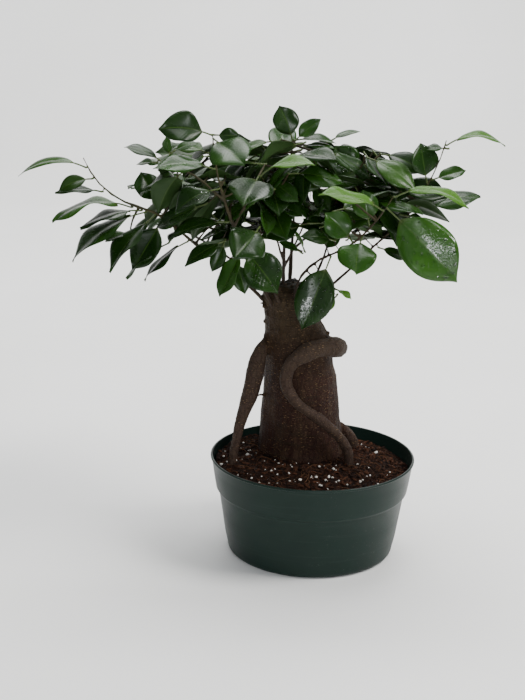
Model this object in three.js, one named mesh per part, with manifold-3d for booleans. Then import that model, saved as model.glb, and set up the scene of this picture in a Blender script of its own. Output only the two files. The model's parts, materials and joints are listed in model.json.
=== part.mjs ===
// A ficus bonsai with a swollen trunk and aerial roots, growing in a round green nursery pot.
// Millimetres, +Z up. The origin is the centre of the pot's flat base, on the surface it stands on;
// -Y is the front, the side that the looping root crosses.
import * as THREE from "three";
import { mergeVertices } from "three/addons/utils/BufferGeometryUtils.js";
import Module from "manifold-3d";

const wasm = await Module();
wasm.setup();

// ---- Driving dimensions -------------------------------------------------------------------------

const CLEARANCE = 0.3; // gap between pieces that touch

const POT = {
  rimRadius: 101.5,
  baseRadius: 83,
  height: 98.5,
  wall: 1.6,
  floor: 2.2,
  band: 33, // depth of the plain band below the rim
  step: 2.6, // how far the wall steps in under the band
  lip: 2.4, // height of the rolled lip
  lipOut: 0.8,
  corner: 6, // radius of the turn from wall to base
  recess: 1.4, // depth of the drained ring under the base
  recessInner: 34,
  drainHoles: 6,
  drainRadius: 5,
  sides: 40,
};

const SOIL = {
  belowRim: 10, // at the wall
  mound: 3.5, // how much higher it lies round the trunk
};

const TRUNK = {
  offsetX: -0.1, // where it stands, as shares of the soil's radius
  offsetY: 0.34,
  height: 168, // from the soil line to the crown
  buried: 26,
  sides: 24,
};
// Share of the height, drift to the side, half width across and half width deep.
const TRUNK_LEVELS = [
  { up: 0, x: 0, across: 44, deep: 41 },
  { up: 0.1, x: 0, across: 42, deep: 39.5 },
  { up: 0.2, x: -1, across: 40, deep: 38.5 },
  { up: 0.33, x: -2, across: 38.5, deep: 37.5 },
  { up: 0.47, x: -3, across: 37, deep: 36 },
  { up: 0.55, x: -5, across: 35.5, deep: 34.5 },
  { up: 0.66, x: -7, across: 36, deep: 34 },
  { up: 0.73, x: -8.5, across: 31.5, deep: 30 },
  { up: 0.8, x: -12, across: 28, deep: 27 },
  { up: 0.89, x: -16, across: 25.5, deep: 25 },
  { up: 0.96, x: -17, across: 27.5, deep: 26 },
  { up: 1, x: -17, across: 25, deep: 24 },
];
// Flutes that the old roots leave down the trunk: how many round it, depth and turn.
const FLUTES = [
  { count: 3, depth: 0.03, turn: 40 },
  { count: 5, depth: 0.022, turn: 110 },
];

const ROOT_SIDES = 10;
// Stops along the root that loops across the front: angle round the trunk (0 is right, -90 front),
// share of the trunk's height, gap off its face, and the root's radius.
const LOOPING_ROOT = [
  { angle: 14, up: 0.65, off: -13, radius: 8.5 },
  { angle: -14, up: 0.66, off: -5, radius: 10 },
  { angle: -40, up: 0.695, off: 2, radius: 9.6 },
  { angle: -65, up: 0.7, off: 3, radius: 9 },
  { angle: -85, up: 0.67, off: 3, radius: 8.3 },
  { angle: -98, up: 0.625, off: 3, radius: 7.6 },
  { angle: -106, up: 0.565, off: 3, radius: 7.1 },
  { angle: -109, up: 0.49, off: 3, radius: 7 },
  { angle: -103, up: 0.425, off: 3, radius: 6.6 },
  { angle: -94, up: 0.37, off: 3, radius: 6.1 },
  { angle: -79, up: 0.315, off: 4, radius: 5.6 },
  { angle: -64, up: 0.255, off: 6, radius: 5.2 },
  { angle: -52, up: 0.19, off: 8, radius: 4.9 },
  { angle: -44, up: 0.125, off: 10, radius: 4.6 },
  { angle: -39, up: 0.05, off: 12, radius: 4.3 },
  { angle: -39, up: -0.07, off: 13, radius: 4 },
];
// Stops down the root that stands off the left shoulder.
const SHOULDER_ROOT = [
  { angle: 198, up: 0.7, off: -9, radius: 5.5 },
  { angle: 207, up: 0.625, off: 1, radius: 8 },
  { angle: 212, up: 0.52, off: 9, radius: 9 },
  { angle: 215, up: 0.42, off: 17, radius: 8 },
  { angle: 215, up: 0.31, off: 26, radius: 6.8 },
  { angle: 215, up: 0.21, off: 33, radius: 5.8 },
  { angle: 215, up: 0.11, off: 38, radius: 4.8 },
  { angle: 215, up: 0, off: 41, radius: 4 },
  { angle: 215, up: -0.06, off: 42, radius: 3.4 },
];
// Stops down the short root behind the right side of the base.
const REAR_ROOT = [
  { angle: 22, up: 0.12, off: -9, radius: 6 },
  { angle: 22, up: 0.07, off: -2, radius: 7 },
  { angle: 22, up: 0.015, off: 5, radius: 6.5 },
  { angle: 22, up: -0.07, off: 10, radius: 5 },
];

// Each branch grows as one piece with its side shoots. Points are millimetres from the middle of the
// trunk's crown; the radii run from base to tip.
const BRANCH_SIDES = 6;
const BRANCHES = {
  left_low: {
    main: { base: 3, tip: 1, points: [[-22, -6, -14], [-46, -11, 10], [-74, -21, 33], [-106, -29, 60],
      [-126, -34, 77], [-164, -37, 92], [-186, -37, 110], [-198, -37, 131]] },
    inner: { base: 2.4, tip: 0.9, points: [[-34, -9, 0], [-56, 2, 26], [-104, 6, 55], [-138, 2, 80]] },
  },
  left_rear: {
    main: { base: 3, tip: 0.9, points: [[-16, 14, -14], [-46, 27, 26], [-70, 36, 47], [-88, 42, 54],
      [-103, 50, 80], [-108, 56, 100]] },
    outer: { base: 2.4, tip: 0.9, points: [[-46, 27, 26], [-64, 52, 44], [-92, 76, 62], [-122, 90, 84]] },
  },
  left_top: {
    main: { base: 3.2, tip: 1, points: [[-16, -17, -14], [-46, -46, 50], [-63, -65, 96], [-72, -71, 132],
      [-75, -73, 160]] },
    outer: { base: 1.8, tip: 0.9, points: [[-64, -67, 98], [-90, -66, 120], [-126, -58, 134]] },
    inner: { base: 1.8, tip: 0.9, points: [[-54, -56, 72], [-42, -70, 100], [-32, -80, 124]] },
  },
  front: {
    main: { base: 2.6, tip: 0.9, points: [[-8, -18, -12], [-14, -42, 4], [-22, -62, 34], [-30, -74, 76]] },
    left: { base: 1.8, tip: 0.9, points: [[-14, -42, 4], [-28, -56, 30], [-46, -62, 54]] },
  },
  centre: {
    main: { base: 3.2, tip: 1, points: [[-6, 0, -14], [-6, -4, 40], [-6, -6, 100], [0, -10, 146]] },
    left: { base: 2.4, tip: 0.9, points: [[-6, -3, 28], [-13, -12, 50], [-16, -24, 98]] },
    right: { base: 2.4, tip: 0.9, points: [[-6, -2, 20], [5, 4, 44], [17, 8, 76], [18, 4, 112]] },
  },
  right_upper: {
    main: { base: 2.8, tip: 1, points: [[12, 12, -14], [30, 16, 18], [40, 20, 54], [40, 22, 108]] },
    outer: { base: 1.8, tip: 0.9, points: [[40, 21, 76], [52, 8, 98], [64, -6, 112]] },
  },
  right_front: {
    main: { base: 2.8, tip: 1, points: [[3, -17, -14], [9, -36, 18], [24, -48, 38], [56, -62, 58],
      [80, -72, 86], [92, -80, 108]] },
  },
  right_long: {
    main: { base: 2.6, tip: 0.9, points: [[17, -4, -14], [46, -8, 10], [82, -20, 50], [112, -28, 82],
      [136, -30, 128], [144, -30, 154]] },
  },
  rear: {
    main: { base: 3.6, tip: 1, points: [[0, 18, -14], [2, 44, 28], [4, 74, 62], [-4, 104, 106]] },
    right: { base: 2.4, tip: 0.9, points: [[2, 44, 28], [30, 66, 50], [82, 90, 86]] },
    left: { base: 2, tip: 0.9, points: [[4, 74, 62], [-22, 88, 74], [-50, 98, 92]] },
  },
};

const LEAF = {
  stalk: 0.16, // share of the length
  stalkRadius: 0.75,
  thick: 0.5, // half thickness at the midrib
  fold: 12, // degrees that each half rises from the midrib
};
// Blade outline: share of the blade's length, share of its half width.
const BLADE = [[0, 0.1], [0.14, 0.58], [0.34, 0.95], [0.56, 0.97], [0.78, 0.62], [0.92, 0.2]];

const COLOURS = {
  pot: { color: 0x2b3a36, roughness: 0.42, metalness: 0 },
  soil: { color: 0x3a2219, roughness: 0.95, metalness: 0 },
  bark: { color: 0x8a6a55, roughness: 0.85, metalness: 0 },
  root: { color: 0x9a6a4c, roughness: 0.8, metalness: 0 },
  twig: { color: 0x8f7f6b, roughness: 0.85, metalness: 0 },
  leaf: { color: 0x2f5526, roughness: 0.38, metalness: 0 },
  young: { color: 0x7fa23c, roughness: 0.4, metalness: 0 },
};

// Where each leaf grows: its shoot, the share of the way along it, the way it points, and its shape.
const LEAVES = [
  { on: "left_low.main", at: 0.96, turn: 175, rise: -10, long: 66, wide: 24, roll: 10, arch: 0.16 },
  { on: "left_low.main", at: 0.72, turn: -165, rise: -10, long: 76, wide: 38, roll: 0, arch: 0.16 },
  { on: "left_low.main", at: 0.68, turn: -165, rise: -15, long: 60, wide: 30, roll: 5, arch: 0.1 },
  { on: "left_low.main", at: 0.66, turn: -158, rise: -30, long: 84, wide: 39, roll: 5, arch: 0.1 },
  { on: "left_low.main", at: 0.62, turn: -145, rise: -45, long: 70, wide: 33, roll: 0, arch: 0.06 },
  { on: "left_low.main", at: 0.58, turn: -175, rise: -60, long: 56, wide: 31, roll: 65, arch: 0.02 },
  { on: "left_low.inner", at: 0.98, turn: 160, rise: 66, long: 34, wide: 29, roll: 40, arch: 0.06 },
  { on: "left_low.main", at: 0.44, turn: -160, rise: -40, long: 56, wide: 27, roll: -5, arch: 0.08 },
  { on: "left_top.main", at: 0.56, turn: -165, rise: -15, long: 58, wide: 29, roll: 10, arch: 0.08 },
  { on: "front.left", at: 0.96, turn: -145, rise: -60, long: 49, wide: 25, roll: 10, arch: 0.05 },
  { on: "front.main", at: 1, turn: -118, rise: -24, long: 50, wide: 39, roll: 40, arch: 0.05 },
  { on: "front.left", at: 0.98, turn: -32, rise: -44, long: 54, wide: 37, roll: -55, arch: 0.05 },
  { on: "left_top.main", at: 1, turn: -170, rise: 6, long: 48, wide: 31, roll: 60, arch: 0.08 },
  { on: "left_top.main", at: 1, turn: -10, rise: 0, long: 24, wide: 14, roll: -70, arch: 0.06 },
  { on: "left_top.main", at: 0.98, turn: -55, rise: -18, long: 53, wide: 40, roll: -28, arch: 0.06 },
  { on: "left_top.outer", at: 0.94, turn: 180, rise: 20, long: 37, wide: 19, roll: 20, arch: 0.08 },
  { on: "left_top.main", at: 0.84, turn: -170, rise: 0, long: 56, wide: 28, roll: 25, arch: 0.08 },
  { on: "left_top.inner", at: 1, turn: -105, rise: -20, long: 52, wide: 42, roll: 10, arch: 0.05 },
  { on: "left_top.main", at: 0.74, turn: -155, rise: -25, long: 47, wide: 28, roll: 25, arch: 0.1 },
  { on: "centre.main", at: 1, turn: 165, rise: 66, long: 35, wide: 26, roll: 60, arch: 0.06 },
  { on: "centre.main", at: 1, turn: 10, rise: 40, long: 32, wide: 16, roll: -55, arch: 0.06 },
  { on: "left_top.inner", at: 1, turn: -30, rise: 15, long: 58, wide: 29, roll: -15, arch: 0.14, young: 1 },
  { on: "right_front.main", at: 0.9, turn: 200, rise: 15, long: 66, wide: 28, roll: 20, arch: 0.1, young: 1 },
  { on: "right_upper.outer", at: 0.94, turn: 165, rise: 55, long: 37, wide: 33, roll: 70, arch: 0.05 },
  { on: "centre.right", at: 0.92, turn: -40, rise: -45, long: 34, wide: 17, roll: -45, arch: 0.06 },
  { on: "right_upper.main", at: 0.66, turn: -100, rise: -35, long: 38, wide: 25, roll: 20, arch: 0.05 },
  { on: "right_front.main", at: 0.78, turn: 145, rise: 75, long: 33, wide: 25, roll: 50, arch: 0.06 },
  { on: "right_front.main", at: 0.64, turn: -180, rise: 45, long: 37, wide: 27, roll: 75, arch: 0.06 },
  { on: "right_front.main", at: 0.7, turn: -100, rise: -35, long: 46, wide: 37, roll: 5, arch: 0.05 },
  { on: "right_front.main", at: 0.48, turn: -145, rise: -65, long: 73, wide: 37, roll: 45, arch: 0.05 },
  { on: "right_front.main", at: 0.92, turn: -15, rise: -43, long: 93, wide: 51, roll: -70, arch: 0.06 },
  { on: "right_long.main", at: 0.68, turn: 5, rise: 10, long: 62, wide: 31, roll: -25, arch: 0.1 },
  { on: "right_front.main", at: 1, turn: -15, rise: -5, long: 68, wide: 24, roll: -10, arch: 0.2, young: 1 },
  { on: "right_long.main", at: 0.8, turn: 170, rise: 78, long: 37, wide: 31, roll: 50, arch: 0.05 },
  { on: "right_long.main", at: 0.82, turn: 10, rise: 15, long: 33, wide: 16, roll: -40, arch: 0.06 },
  { on: "right_long.main", at: 0.98, turn: 5, rise: 0, long: 56, wide: 22, roll: -10, arch: 0.18 },
  { on: "left_rear.main", at: 0.84, turn: 170, rise: 10, long: 60, wide: 29, roll: 10, arch: 0.08 },
  { on: "left_rear.main", at: 1, turn: 110, rise: 30, long: 56, wide: 28, roll: -15, arch: 0.08 },
  { on: "left_rear.outer", at: 0.7, turn: 205, rise: -25, long: 62, wide: 30, roll: -10, arch: 0.1 },
  { on: "left_rear.outer", at: 1, turn: 140, rise: -10, long: 64, wide: 31, roll: 10, arch: 0.1 },
  { on: "rear.main", at: 0.8, turn: 60, rise: 5, long: 60, wide: 30, roll: 10, arch: 0.08 },
  { on: "rear.main", at: 1, turn: 95, rise: 30, long: 62, wide: 30, roll: 0, arch: 0.1 },
  { on: "rear.right", at: 0.72, turn: 350, rise: -15, long: 62, wide: 30, roll: 10, arch: 0.1 },
  { on: "rear.right", at: 1, turn: 45, rise: -20, long: 66, wide: 32, roll: -10, arch: 0.1 },
  { on: "rear.left", at: 1, turn: 125, rise: -25, long: 66, wide: 32, roll: 10, arch: 0.1 },
];

// ---- Helpers ------------------------------------------------------------------------------------

const rad = THREE.MathUtils.degToRad;
const lerp = THREE.MathUtils.lerp;
const vec = (x, y, z) => new THREE.Vector3(x, y, z);

function solidOf(geometry) {
  const bare = geometry.clone();
  bare.deleteAttribute("normal");
  bare.deleteAttribute("uv");
  const merged = mergeVertices(bare, 1e-4);
  return new wasm.Manifold(new wasm.Mesh({
    numProp: 3,
    vertProperties: new Float32Array(merged.attributes.position.array),
    triVerts: new Uint32Array(merged.index.array),
  }));
}

function geometryOf(solid) {
  const mesh = solid.getMesh();
  const geometry = new THREE.BufferGeometry();
  geometry.setAttribute("position", new THREE.BufferAttribute(mesh.vertProperties, 3));
  geometry.setIndex(new THREE.BufferAttribute(mesh.triVerts, 1));
  return geometry;
}

// An upright round plug centred on the base plane.
function plug(radius, height, sides) {
  const geometry = new THREE.CylinderGeometry(radius, radius, height, sides);
  geometry.rotateX(Math.PI / 2);
  return solidOf(geometry);
}

// A closed skin through rings of points; a ring of one point closes an end to a tip. Rings run
// anticlockwise seen from the far end, so that the faces look out.
function loft(rings) {
  const points = rings.flat();
  const starts = [];
  let total = 0;
  for (const ring of rings) {
    starts.push(total);
    total += ring.length;
  }
  const faces = [];
  for (let i = 0; i + 1 < rings.length; i++) {
    const low = rings[i].length;
    const high = rings[i + 1].length;
    const count = Math.max(low, high);
    for (let j = 0; j < count; j++) {
      const next = (j + 1) % count;
      const a = starts[i] + (low > 1 ? j : 0);
      const b = starts[i] + (low > 1 ? next : 0);
      const c = starts[i + 1] + (high > 1 ? next : 0);
      const d = starts[i + 1] + (high > 1 ? j : 0);
      if (low > 1) faces.push(a, b, c);
      if (high > 1) faces.push(a, c, d);
    }
  }
  const capFaces = (start, count, outward) => {
    for (let j = 1; j + 1 < count; j++) {
      if (outward) faces.push(start, start + j, start + j + 1);
      else faces.push(start, start + j + 1, start + j);
    }
  };
  capFaces(starts[0], rings[0].length, false);
  capFaces(starts.at(-1), rings.at(-1).length, true);
  const geometry = new THREE.BufferGeometry();
  geometry.setAttribute("position",
    new THREE.Float32BufferAttribute(points.flatMap((p) => [p.x, p.y, p.z]), 3));
  geometry.setIndex(faces);
  return geometry;
}

// Rings square to a curve, carried along it without twisting.
function tube(curve, radiusAt, sides, steps) {
  const rings = [];
  let tangent = curve.getTangentAt(0);
  let across = vec(0, 0, 1).cross(tangent);
  if (across.length() < 0.1) across = vec(1, 0, 0);
  across.addScaledVector(tangent, -across.dot(tangent)).normalize();
  for (let i = 0; i <= steps; i++) {
    const share = i / steps;
    const centre = curve.getPointAt(share);
    tangent = curve.getTangentAt(share);
    across = across.clone().addScaledVector(tangent, -across.dot(tangent)).normalize();
    const over = tangent.clone().cross(across);
    const ring = [];
    for (let j = 0; j < sides; j++) {
      const turn = (j / sides) * Math.PI * 2;
      ring.push(centre.clone()
        .addScaledVector(across, Math.cos(turn) * radiusAt(share))
        .addScaledVector(over, Math.sin(turn) * radiusAt(share)));
    }
    rings.push(ring);
  }
  return loft(rings);
}

function between(rows, key, share) {
  const last = rows.length - 1;
  const place = THREE.MathUtils.clamp(share, 0, 1) * last;
  const low = Math.min(Math.floor(place), last - 1);
  return lerp(rows[low][key], rows[low + 1][key], place - low);
}

const plant = new THREE.Group();
plant.name = "ficus_bonsai";

function addPiece(name, geometry, look) {
  const mesh = new THREE.Mesh(geometry, new THREE.MeshStandardMaterial(look));
  mesh.name = name;
  plant.add(mesh);
}

// ---- Pot ----------------------------------------------------------------------------------------

// The wall leans out in a straight line, and the band below the rim stands proud of it.
const wallLean = (POT.rimRadius - POT.step - POT.baseRadius - POT.lipOut) / POT.height;
const bandRadiusAt = (z) => POT.rimRadius - POT.lipOut - wallLean * (POT.height - z);
const wallRadiusAt = (z) => bandRadiusAt(z) - POT.step;
const cornerRadiusAt = (z, grow) => {
  const rise = Math.min(z / POT.corner, 1);
  const turnIn = POT.corner * (1 - Math.sqrt(Math.max(0, 1 - (1 - rise) ** 2)));
  return wallRadiusAt(z) - turnIn + grow;
};

function potSolid() {
  const bandFoot = POT.height - POT.band;
  const outer = [
    [cornerRadiusAt(0, 0) - 0.5, 0],
    [cornerRadiusAt(POT.corner * 0.15, 0), POT.corner * 0.15],
    [cornerRadiusAt(POT.corner * 0.5, 0), POT.corner * 0.5],
    [cornerRadiusAt(POT.corner, 0), POT.corner],
    [wallRadiusAt(bandFoot - 1.5), bandFoot - 1.5],
    [bandRadiusAt(bandFoot + 1), bandFoot + 1],
    [bandRadiusAt(POT.height - POT.lip), POT.height - POT.lip],
    [POT.rimRadius, POT.height - POT.lip * 0.75],
    [POT.rimRadius, POT.height - POT.lip * 0.25],
    [POT.rimRadius - POT.lipOut, POT.height],
  ];
  const inner = [
    [bandRadiusAt(POT.height) - POT.wall + 0.4, POT.height],
    [bandRadiusAt(POT.height - POT.lip) - POT.wall, POT.height - POT.lip],
    [bandRadiusAt(bandFoot + 1) - POT.wall, bandFoot + 1],
    [wallRadiusAt(bandFoot - 1.5) - POT.wall, bandFoot - 1.5],
    [cornerRadiusAt(POT.corner, -POT.wall), POT.corner],
    [cornerRadiusAt(POT.corner * 0.5, -POT.wall), Math.max(POT.corner * 0.5, POT.floor)],
    [cornerRadiusAt(POT.corner * 0.15, -POT.wall) - 1, POT.floor],
    [0, POT.floor],
  ];
  const profile = [[0, 0], ...outer, ...inner].map(([r, z]) => new THREE.Vector2(r, z));
  const body = new THREE.LatheGeometry(profile, POT.sides);
  body.rotateX(Math.PI / 2);
  let solid = solidOf(body);
  const outerRecess = POT.baseRadius - POT.corner - 8;
  const ring = plug(outerRecess, POT.recess * 2, POT.sides)
    .subtract(plug(POT.recessInner, POT.recess * 3, POT.sides));
  solid = solid.subtract(ring);
  const holeCircle = (outerRecess + POT.recessInner) / 2;
  const hole = plug(POT.drainRadius, POT.floor * 4, 8);
  for (let i = 0; i < POT.drainHoles; i++) {
    const turn = (i / POT.drainHoles) * Math.PI * 2;
    solid = solid.subtract(hole.translate([Math.cos(turn) * holeCircle, Math.sin(turn) * holeCircle, 0]));
  }
  return solid;
}

// ---- Trunk --------------------------------------------------------------------------------------

const soilEdge = POT.height - SOIL.belowRim;
const soilRadius = bandRadiusAt(soilEdge) - POT.wall - CLEARANCE;
const soilLine = soilEdge + SOIL.mound;
const trunkX = TRUNK.offsetX * soilRadius;
const trunkY = TRUNK.offsetY * soilRadius;

function trunkLevel(up) {
  const levels = TRUNK_LEVELS;
  const share = THREE.MathUtils.clamp(up, 0, 1);
  let i = 0;
  while (i < levels.length - 2 && share > levels[i + 1].up) i++;
  const part = (share - levels[i].up) / (levels[i + 1].up - levels[i].up);
  const mix = (key) => lerp(levels[i][key], levels[i + 1][key], part);
  return { x: mix("x"), across: mix("across"), deep: mix("deep") };
}

// A point out from the trunk's axis: off is its distance from the bark.
function trunkPoint(angle, up, off) {
  const level = trunkLevel(up);
  const turn = rad(angle);
  let radius = 1 / Math.hypot(Math.cos(turn) / level.across, Math.sin(turn) / level.deep);
  const low = 1 - 0.7 * THREE.MathUtils.clamp(up, 0, 1);
  for (const flute of FLUTES) {
    radius *= 1 + low * flute.depth * Math.cos(flute.count * (turn - rad(flute.turn)));
  }
  const reach = Math.max(radius + off, 1);
  return vec(
    trunkX + level.x + Math.cos(turn) * reach,
    trunkY + Math.sin(turn) * reach,
    soilLine + up * TRUNK.height,
  );
}

function trunkSolid(grow) {
  const foot = -(TRUNK.buried + grow) / TRUNK.height;
  const ups = [foot, ...TRUNK_LEVELS.map((level) => level.up)];
  const rings = ups.map((up, i) => {
    const taper = i === 0 ? -10 : 0;
    const ring = [];
    for (let j = 0; j < TRUNK.sides; j++) {
      ring.push(trunkPoint((j / TRUNK.sides) * 360, up, grow + taper));
    }
    return ring;
  });
  // the crown closes over in a low, uneven callus
  const rim = rings.at(-1);
  for (const [share, lift] of [[0.72, 3.5], [0.36, 5]]) {
    const middle = trunkPoint(0, 1, 0).lerp(trunkPoint(180, 1, 0), 0.5);
    rings.push(rim.map((p, j) => {
      const point = middle.clone().lerp(p, share);
      point.z += lift + grow + 1.2 * Math.sin(j * 1.7);
      return point;
    }));
  }
  return solidOf(loft(rings));
}

const crown = trunkPoint(0, 1, 0).lerp(trunkPoint(180, 1, 0), 0.5);
const trunk = trunkSolid(0);
const trunkRoom = trunkSolid(CLEARANCE);

// ---- Roots --------------------------------------------------------------------------------------

function rootSolid(stops, grow, steps) {
  const path = new THREE.CatmullRomCurve3(stops.map((stop) =>
    trunkPoint(stop.angle, stop.up, stop.off + stop.radius + CLEARANCE)));
  const radiusAt = (share) => {
    const at = path.getUtoTmapping(share);
    return between(stops, "radius", at) + grow;
  };
  return solidOf(tube(path, radiusAt, ROOT_SIDES, steps));
}

const largestBody = (solid) => {
  const bodies = solid.decompose();
  bodies.sort((a, b) => b.volume() - a.volume());
  return bodies[0];
};

const roots = {
  prop_root_looping: { stops: LOOPING_ROOT, steps: 34 },
  prop_root_left: { stops: SHOULDER_ROOT, steps: 18 },
  root_right_rear: { stops: REAR_ROOT, steps: 7 },
};

// ---- Soil ---------------------------------------------------------------------------------------

function soilSolid() {
  const profile = [[0, POT.floor + CLEARANCE]];
  const levels = [POT.floor + CLEARANCE, POT.corner, POT.height - POT.band - 2, POT.height - POT.band + 2,
    soilEdge];
  for (const z of levels) {
    const inBand = z > POT.height - POT.band;
    const wall = inBand ? bandRadiusAt(z) : cornerRadiusAt(z, 0);
    const slack = z < POT.corner ? 2.5 : 0.6;
    profile.push([wall - POT.wall - CLEARANCE - slack, z]);
  }
  profile.push([soilRadius * 0.75, soilEdge + SOIL.mound * 0.5]);
  profile.push([soilRadius * 0.4, soilLine]);
  profile.push([0, soilLine]);
  const body = new THREE.LatheGeometry(profile.map(([r, z]) => new THREE.Vector2(r, z)), POT.sides);
  body.rotateX(Math.PI / 2);
  return solidOf(body);
}

// ---- Branches -----------------------------------------------------------------------------------

const shoots = {};

function branchSolid(name, parts) {
  let solid = null;
  for (const [part, shoot] of Object.entries(parts)) {
    const path = new THREE.CatmullRomCurve3(shoot.points.map(([x, y, z]) => vec(x, y, z).add(crown)));
    const radiusAt = (share) => lerp(shoot.base, shoot.tip, share);
    shoots[`${name}.${part}`] = { path, radiusAt };
    const steps = shoot.points.length * 2;
    const piece = solidOf(tube(path, radiusAt, BRANCH_SIDES, steps));
    solid = solid ? solid.add(piece) : piece;
  }
  return solid;
}

// ---- Leaves -------------------------------------------------------------------------------------

// A folded blade on a short stalk. Turn is its bearing from +X, rise the climb above level, roll the
// lean of the blade about its own length, and arch how far the middle bows up as a share of its length.
function leafGeometry(leaf) {
  const { path, radiusAt } = shoots[leaf.on];
  const heading = rad(leaf.turn);
  const rise = rad(leaf.rise);
  const along = vec(
    Math.cos(heading) * Math.cos(rise),
    Math.sin(heading) * Math.cos(rise),
    Math.sin(rise),
  );
  const level = vec(Math.sin(heading), -Math.cos(heading), 0);
  const upright = level.clone().cross(along);
  const roll = rad(leaf.roll);
  const side = level.clone().multiplyScalar(Math.cos(roll)).addScaledVector(upright, Math.sin(roll));
  const face = upright.clone().multiplyScalar(Math.cos(roll)).addScaledVector(level, -Math.sin(roll));

  // the stalk leaves the side of the twig, or its tip
  const out = along.clone();
  const tangent = path.getTangentAt(leaf.at);
  if (leaf.at < 1) out.addScaledVector(tangent, -along.dot(tangent)).normalize();
  const base = path.getPointAt(leaf.at)
    .addScaledVector(out, radiusAt(leaf.at) + CLEARANCE + LEAF.stalkRadius);

  const bow = leaf.arch * leaf.long;
  const centreAt = (share) => base.clone()
    .addScaledVector(along, share * leaf.long)
    .addScaledVector(face, bow * 4 * share * (1 - share));
  const ringAt = (share, half, thick, lift) => {
    const centre = centreAt(share);
    return [
      centre.clone().addScaledVector(side, -half).addScaledVector(face, lift),
      centre.clone().addScaledVector(face, thick),
      centre.clone().addScaledVector(side, half).addScaledVector(face, lift),
      centre.clone().addScaledVector(face, -thick),
    ];
  };
  const rings = [ringAt(0, LEAF.stalkRadius, LEAF.stalkRadius, 0)];
  for (const [place, width] of BLADE) {
    const half = width * leaf.wide / 2;
    const share = lerp(LEAF.stalk, 1, place);
    rings.push(ringAt(share, half, LEAF.thick, half * Math.tan(rad(LEAF.fold))));
  }
  rings.push([centreAt(1)]);
  return loft(rings);
}

// ---- The plant in its pot -----------------------------------------------------------------------

addPiece("pot", geometryOf(potSolid()), COLOURS.pot);

let soil = soilSolid().subtract(trunkRoom);
for (const [name, root] of Object.entries(roots)) {
  soil = soil.subtract(rootSolid(root.stops, CLEARANCE, root.steps));
  addPiece(name, geometryOf(largestBody(rootSolid(root.stops, 0, root.steps).subtract(trunkRoom))),
    COLOURS.root);
}
addPiece("soil", geometryOf(largestBody(soil)), COLOURS.soil);
addPiece("trunk", geometryOf(trunk), COLOURS.bark);

for (const [name, parts] of Object.entries(BRANCHES)) {
  const grown = branchSolid(name, parts).subtract(trunkRoom);
  addPiece(`branch_${name}`, geometryOf(largestBody(grown)), COLOURS.twig);
}

const leafCount = {};
for (const leaf of LEAVES) {
  const shoot = leaf.on.split(".")[0];
  leafCount[shoot] = (leafCount[shoot] ?? 0) + 1;
  const look = leaf.young ? COLOURS.young : COLOURS.leaf;
  addPiece(`leaf_${shoot}_${leafCount[shoot]}`, leafGeometry(leaf), look);
}

export default plant;
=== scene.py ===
import json
import random
from itertools import combinations
from math import atan2, cos, degrees, exp, hypot, pi, radians, sin, sqrt, tan

import bpy
import numpy as np
from mathutils import Matrix, Quaternion, Vector, noise
from mathutils.bvhtree import BVHTree
from mathutils.kdtree import KDTree


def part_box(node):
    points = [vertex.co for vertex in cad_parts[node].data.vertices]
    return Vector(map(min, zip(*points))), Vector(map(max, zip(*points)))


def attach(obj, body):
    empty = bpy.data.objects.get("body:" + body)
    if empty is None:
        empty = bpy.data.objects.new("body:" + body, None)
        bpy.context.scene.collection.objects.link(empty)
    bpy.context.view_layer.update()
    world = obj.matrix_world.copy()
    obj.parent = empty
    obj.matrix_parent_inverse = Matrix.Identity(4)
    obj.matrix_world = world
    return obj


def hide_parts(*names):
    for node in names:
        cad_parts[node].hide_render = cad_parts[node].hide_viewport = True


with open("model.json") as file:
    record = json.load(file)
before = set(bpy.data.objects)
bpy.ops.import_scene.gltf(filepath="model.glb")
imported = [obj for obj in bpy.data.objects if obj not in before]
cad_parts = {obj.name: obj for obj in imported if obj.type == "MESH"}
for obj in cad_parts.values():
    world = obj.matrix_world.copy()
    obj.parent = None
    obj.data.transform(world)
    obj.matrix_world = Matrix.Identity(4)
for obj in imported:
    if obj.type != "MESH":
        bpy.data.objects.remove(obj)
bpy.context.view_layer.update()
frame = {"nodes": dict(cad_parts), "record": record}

# The looks of a fig bonsai in its pot. Each CAD node is rebuilt as a finished surface in the CAD's own
# place, and the leaves and soil grains that the nodes leave out are added. Metres, +Z up, -Y the front.

NODES = frame["nodes"]
MM = 0.001
TURN = 2 * pi


# ---- Mesh helpers ----

class Heap:
    """Points and faces gathered from several shells."""

    def __init__(self):
        self.points, self.faces = [], []

    def add(self, points, faces):
        """Adds a shell and says how many points it has."""
        start = len(self.points)
        self.points.extend(points)
        self.faces.extend([[v + start for v in face] for face in faces])
        return len(points)


def per_vertex(mesh, key):
    """Three numbers for each vertex, such as co or normal."""
    values = np.empty(len(mesh.vertices) * 3)
    mesh.vertices.foreach_get(key, values)
    return values.reshape(-1, 3)


def welded(name):
    """A CAD node's corners, each once, and its faces."""
    mesh = NODES[name].data
    co = per_vertex(mesh, "co")
    keys, back = np.unique(np.round(co * 1e5).astype(int), axis=0, return_inverse=True)
    back = back.reshape(-1)
    points = np.zeros((len(keys), 3))
    points[back] = co
    faces = []
    for face in mesh.polygons:
        ring = [int(back[v]) for v in face.vertices]
        if len(set(ring)) == len(ring):
            faces.append(ring)
    return points, faces


def box(name):
    """A CAD node's low and high corners."""
    return [Vector(corner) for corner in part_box(name)]


def linked(name, data):
    """A new object in the scene."""
    thing = bpy.data.objects.new(name, data)
    bpy.context.scene.collection.objects.link(thing)
    return thing


def shaded_smooth(mesh):
    mesh.polygons.foreach_set("use_smooth", [True] * len(mesh.polygons))
    return mesh


def new_mesh(name, points, faces, smooth=True):
    mesh = bpy.data.meshes.new(name)
    mesh.from_pydata([tuple(map(float, p)) for p in points], [], faces)
    mesh.validate()
    mesh.update()
    return shaded_smooth(mesh) if smooth else mesh


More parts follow.
